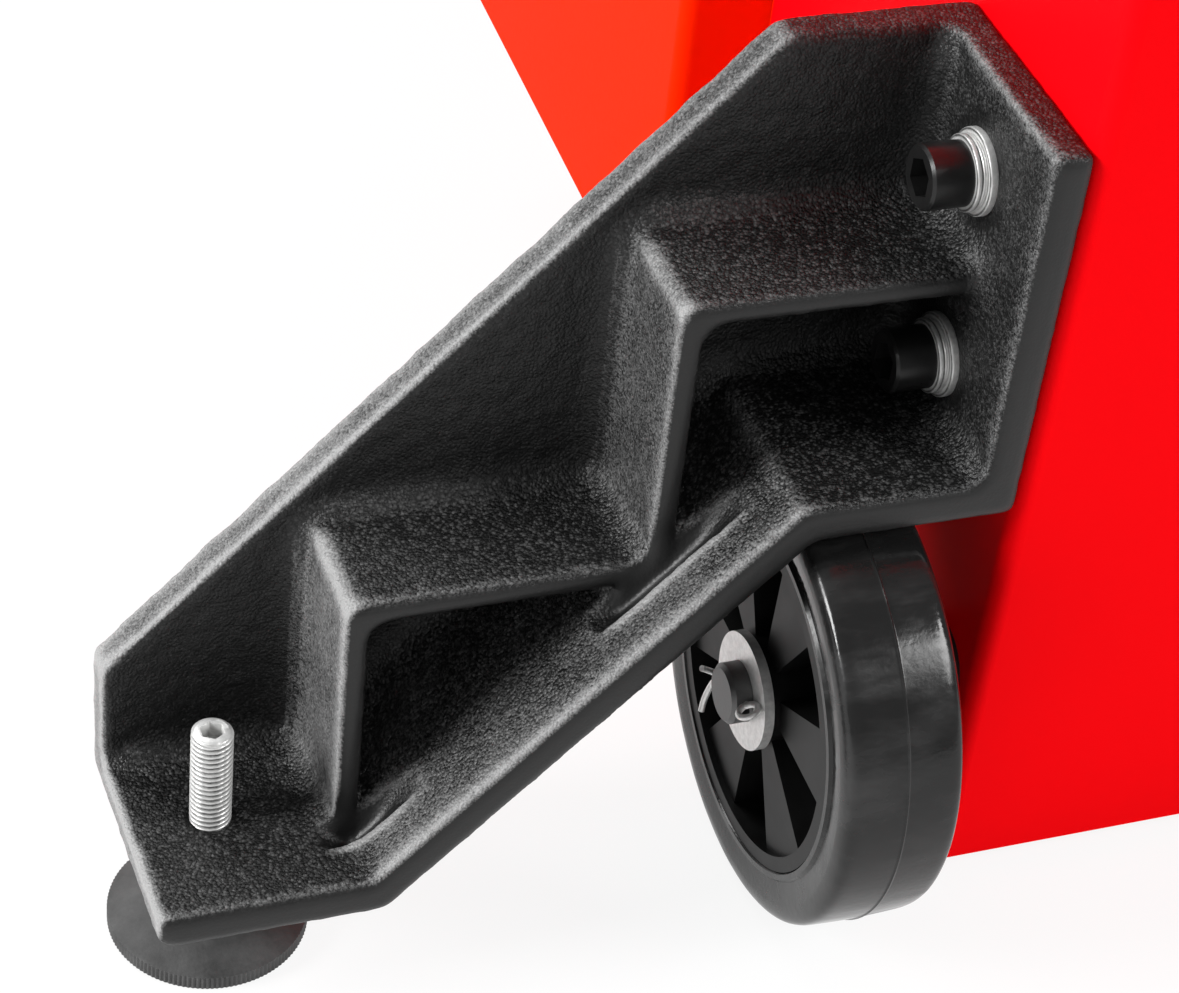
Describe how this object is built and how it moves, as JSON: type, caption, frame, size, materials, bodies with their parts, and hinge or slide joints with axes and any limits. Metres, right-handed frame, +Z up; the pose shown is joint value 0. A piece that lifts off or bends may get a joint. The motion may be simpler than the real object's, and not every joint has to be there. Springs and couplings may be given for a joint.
{
  "type": "wheeled jack base",
  "caption": "Wheeled outrigger base of a jack: red folded steel housing with ribbed cast levelling legs, screw feet and solid-tyred transport wheels.",
  "frame": {"origin": "on the floor under the middle of the base's bounding box", "axes": "+X across the base from the left leg to the right leg, +Y to the rear, +Z up"},
  "size_m": [0.738, 0.4656, 0.324],
  "materials": {
    "cast_black": "black painted rough casting",
    "red_paint": "gloss red powder coat",
    "zinc": "bright zinc plate",
    "black_bolt": "black oxide",
    "black_steel": "black painted tube",
    "raw_steel": "dull turned steel",
    "tyre_rubber": "smooth moulded rubber",
    "hub_plastic": "moulded black plastic",
    "foot_plastic": "moulded dark plastic",
    "bush_bronze": "sintered bronze"
  },
  "bodies": {
    "base": {"front_shell": "red_paint", "rear_shell": "red_paint", "front_floor": "red_paint", "rear_floor": "red_paint", "deck_plate": "red_paint", "deck_screws": "black_bolt", "deck_tabs": "red_paint", "axle_tube": "black_steel", "axle": "raw_steel", "left_leg_casting": "cast_black", "left_leg_bolts": "black_bolt", "left_spring_washers": "zinc", "left_flat_washers": "zinc", "left_backing_plate": "raw_steel", "left_jam_nut": "zinc", "left_outer_washer": "zinc", "left_inner_washer": "zinc", "left_split_pin": "zinc", "left_rear_glide": "foot_plastic", "right_leg_casting": "cast_black", "right_leg_bolts": "black_bolt", "right_spring_washers": "zinc", "right_flat_washers": "zinc", "right_backing_plate": "raw_steel", "right_jam_nut": "zinc", "right_outer_washer": "zinc", "right_inner_washer": "zinc", "right_split_pin": "zinc", "right_rear_glide": "foot_plastic"},
    "left_wheel": {"left_tyre": "tyre_rubber", "left_wheel_hub": "hub_plastic", "left_hub_bush": "bush_bronze"},
    "left_foot": {"left_foot_disc": "foot_plastic"},
    "left_stud": {"left_level_stud": "zinc"},
    "right_wheel": {"right_tyre": "tyre_rubber", "right_wheel_hub": "hub_plastic", "right_hub_bush": "bush_bronze"},
    "right_foot": {"right_foot_disc": "foot_plastic"},
    "right_stud": {"right_level_stud": "zinc"}
  },
  "joints": [
    {"name": "left_wheel_spin", "type": "hinge", "parent": "base", "child": "left_wheel", "pos_m": [-0.16725, -0.1626, 0.0708], "axis": [1, 0, 0], "continuous": true},
    {"name": "left_foot_travel", "type": "slide", "parent": "base", "child": "left_foot", "axis": [0, 0, 1], "range_m": [-0.025, 0.008]},
    {"name": "left_stud_turn", "type": "hinge", "parent": "left_foot", "child": "left_stud", "pos_m": [-0.34, -0.1472, 0.041], "axis": [0, 0, 1], "range_deg": [-5142.86, 1645.71]},
    {"name": "right_wheel_spin", "type": "hinge", "parent": "base", "child": "right_wheel", "pos_m": [0.16725, -0.1626, 0.0708], "axis": [1, 0, 0], "continuous": true},
    {"name": "right_foot_travel", "type": "slide", "parent": "base", "child": "right_foot", "axis": [0, 0, 1], "range_m": [-0.025, 0.008]},
    {"name": "right_stud_turn", "type": "hinge", "parent": "right_foot", "child": "right_stud", "pos_m": [0.34, -0.1472, 0.041], "axis": [0, 0, 1], "range_deg": [-5142.86, 1645.71]}
  ],
  "couplings": [
    {"joint": "left_stud_turn", "follows": "left_foot_travel", "rad_per_m": 3590.4},
    {"joint": "right_stud_turn", "follows": "right_foot_travel", "rad_per_m": 3590.4}
  ]
}
